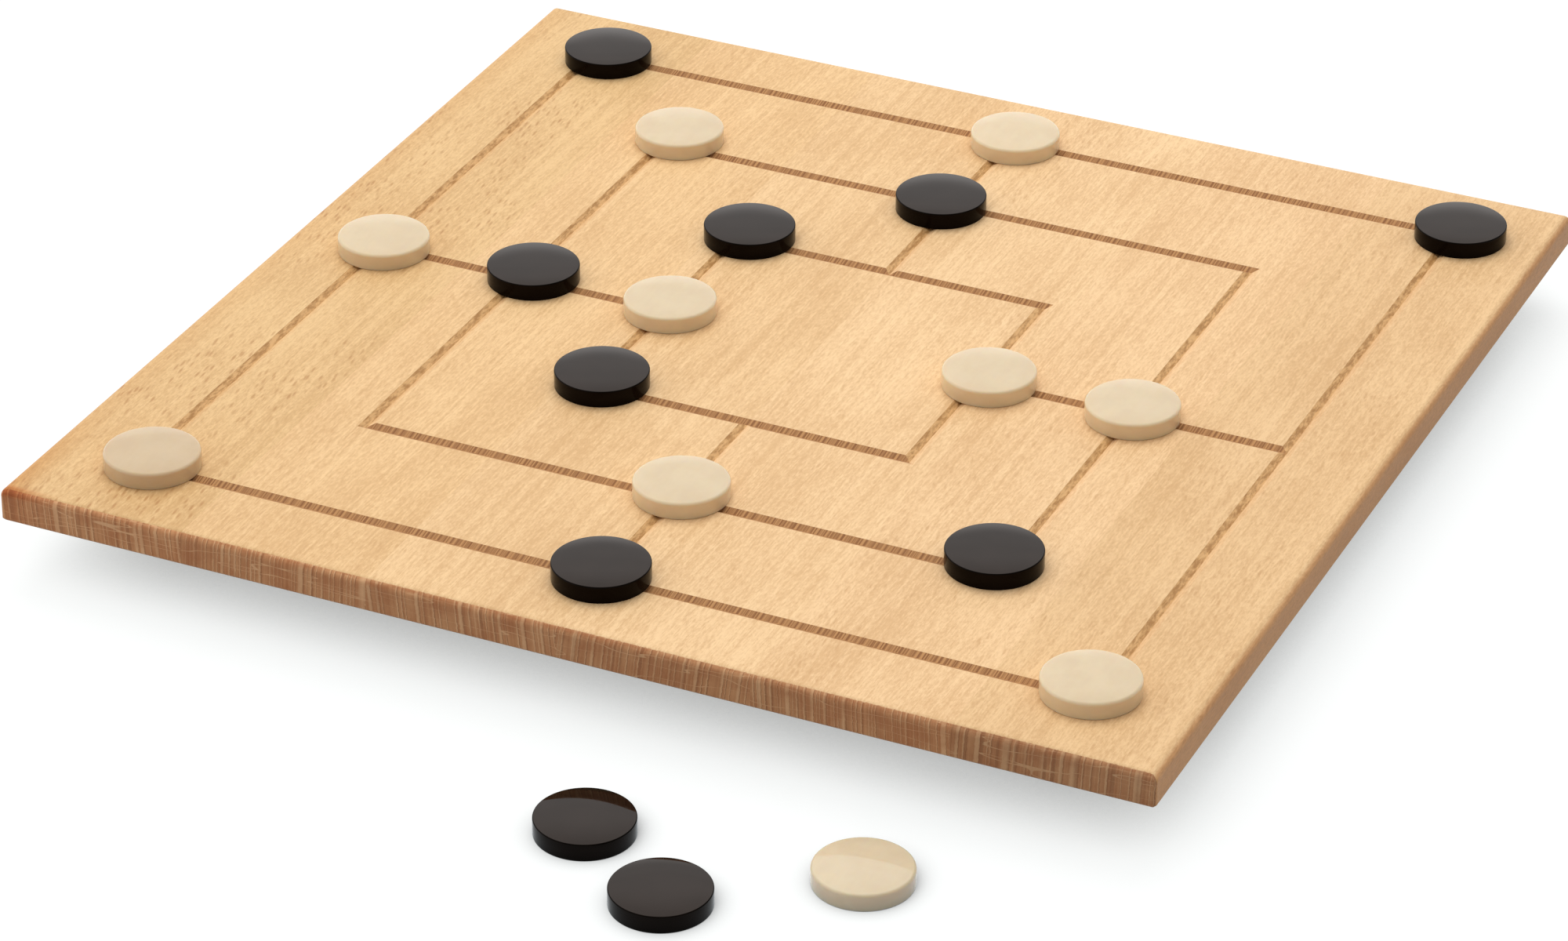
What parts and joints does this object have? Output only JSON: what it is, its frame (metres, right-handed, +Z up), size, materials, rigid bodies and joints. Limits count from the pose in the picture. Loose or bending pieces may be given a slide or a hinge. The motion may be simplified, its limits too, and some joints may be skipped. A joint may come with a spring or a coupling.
{
  "type": "nine men's morris box",
  "caption": "Square wooden board cut with the nested squares of nine men's morris, lying as a lift-off lid on a shallow inset box, with black and cream round men.",
  "frame": {"origin": "on the table, under the middle of the storage box", "axes": "+X to the right along the board's front edge, +Y to the back along the board's grain, +Z up"},
  "size_m": [0.3, 0.37, 0.0308],
  "materials": {
    "board_wood": "oiled beech, fine straight grain",
    "box_wood": "oiled beech",
    "bottom_panel": "birch plywood, unfinished",
    "screw_steel": "zinc plated",
    "man_black": "polished",
    "man_cream": "polished, slightly translucent"
  },
  "bodies": {
    "box": {"box_wall_front": "box_wood", "box_wall_right": "box_wood", "box_wall_back": "box_wood", "box_wall_left": "box_wood", "box_bottom": "bottom_panel", "box_divider": "box_wood"},
    "board": {"board_stave_1": "board_wood", "board_stave_2": "board_wood", "board_stave_3": "board_wood", "board_stave_4": "board_wood", "board_stave_5": "board_wood", "board_stave_6": "board_wood", "batten_front": "box_wood", "batten_back": "box_wood", "batten_screws": "screw_steel"},
    "man_black_1": {"man_black_1": "man_black"},
    "man_black_2": {"man_black_2": "man_black"},
    "man_black_3": {"man_black_3": "man_black"},
    "man_black_4": {"man_black_4": "man_black"},
    "man_black_5": {"man_black_5": "man_black"},
    "man_black_6": {"man_black_6": "man_black"},
    "man_black_7": {"man_black_7": "man_black"},
    "man_black_8": {"man_black_8": "man_black"},
    "man_black_9": {"man_black_9": "man_black"},
    "man_black_10": {"man_black_10": "man_black"},
    "man_cream_1": {"man_cream_1": "man_cream"},
    "man_cream_2": {"man_cream_2": "man_cream"},
    "man_cream_3": {"man_cream_3": "man_cream"},
    "man_cream_4": {"man_cream_4": "man_cream"},
    "man_cream_5": {"man_cream_5": "man_cream"},
    "man_cream_6": {"man_cream_6": "man_cream"},
    "man_cream_7": {"man_cream_7": "man_cream"},
    "man_cream_8": {"man_cream_8": "man_cream"},
    "man_cream_9": {"man_cream_9": "man_cream"},
    "man_cream_10": {"man_cream_10": "man_cream"}
  },
  "joints": [
    {"name": "board_lift", "type": "slide", "parent": "box", "child": "board", "axis": [0, 0, 1], "range_m": [0, 0.08]},
    {"name": "man_black_1_lift", "type": "slide", "parent": "board", "child": "man_black_1", "axis": [0, 0, 1], "range_m": [0, 0.03]},
    {"name": "man_black_2_lift", "type": "slide", "parent": "board", "child": "man_black_2", "axis": [0, 0, 1], "range_m": [0, 0.03]},
    {"name": "man_black_3_lift", "type": "slide", "parent": "board", "child": "man_black_3", "axis": [0, 0, 1], "range_m": [0, 0.03]},
    {"name": "man_black_4_lift", "type": "slide", "parent": "board", "child": "man_black_4", "axis": [0, 0, 1], "range_m": [0, 0.03]},
    {"name": "man_black_5_lift", "type": "slide", "parent": "board", "child": "man_black_5", "axis": [0, 0, 1], "range_m": [0, 0.03]},
    {"name": "man_black_6_lift", "type": "slide", "parent": "board", "child": "man_black_6", "axis": [0, 0, 1], "range_m": [0, 0.03]},
    {"name": "man_black_7_lift", "type": "slide", "parent": "board", "child": "man_black_7", "axis": [0, 0, 1], "range_m": [0, 0.03]},
    {"name": "man_black_8_lift", "type": "slide", "parent": "board", "child": "man_black_8", "axis": [0, 0, 1], "range_m": [0, 0.03]},
    {"name": "man_black_9_lift", "type": "slide", "parent": "box", "child": "man_black_9", "axis": [0, 0, 1], "range_m": [0, 0.03]},
    {"name": "man_black_10_lift", "type": "slide", "parent": "box", "child": "man_black_10", "axis": [0, 0, 1], "range_m": [0, 0.03]},
    {"name": "man_cream_1_lift", "type": "slide", "parent": "board", "child": "man_cream_1", "axis": [0, 0, 1], "range_m": [0, 0.03]},
    {"name": "man_cream_2_lift", "type": "slide", "parent": "board", "child": "man_cream_2", "axis": [0, 0, 1], "range_m": [0, 0.03]},
    {"name": "man_cream_3_lift", "type": "slide", "parent": "board", "child": "man_cream_3", "axis": [0, 0, 1], "range_m": [0, 0.03]},
    {"name": "man_cream_4_lift", "type": "slide", "parent": "board", "child": "man_cream_4", "axis": [0, 0, 1], "range_m": [0, 0.03]},
    {"name": "man_cream_5_lift", "type": "slide", "parent": "board", "child": "man_cream_5", "axis": [0, 0, 1], "range_m": [0, 0.03]},
    {"name": "man_cream_6_lift", "type": "slide", "parent": "board", "child": "man_cream_6", "axis": [0, 0, 1], "range_m": [0, 0.03]},
    {"name": "man_cream_7_lift", "type": "slide", "parent": "board", "child": "man_cream_7", "axis": [0, 0, 1], "range_m": [0, 0.03]},
    {"name": "man_cream_8_lift", "type": "slide", "parent": "board", "child": "man_cream_8", "axis": [0, 0, 1], "range_m": [0, 0.03]},
    {"name": "man_cream_9_lift", "type": "slide", "parent": "board", "child": "man_cream_9", "axis": [0, 0, 1], "range_m": [0, 0.03]},
    {"name": "man_cream_10_lift", "type": "slide", "parent": "box", "child": "man_cream_10", "axis": [0, 0, 1], "range_m": [0, 0.03]}
  ]
}
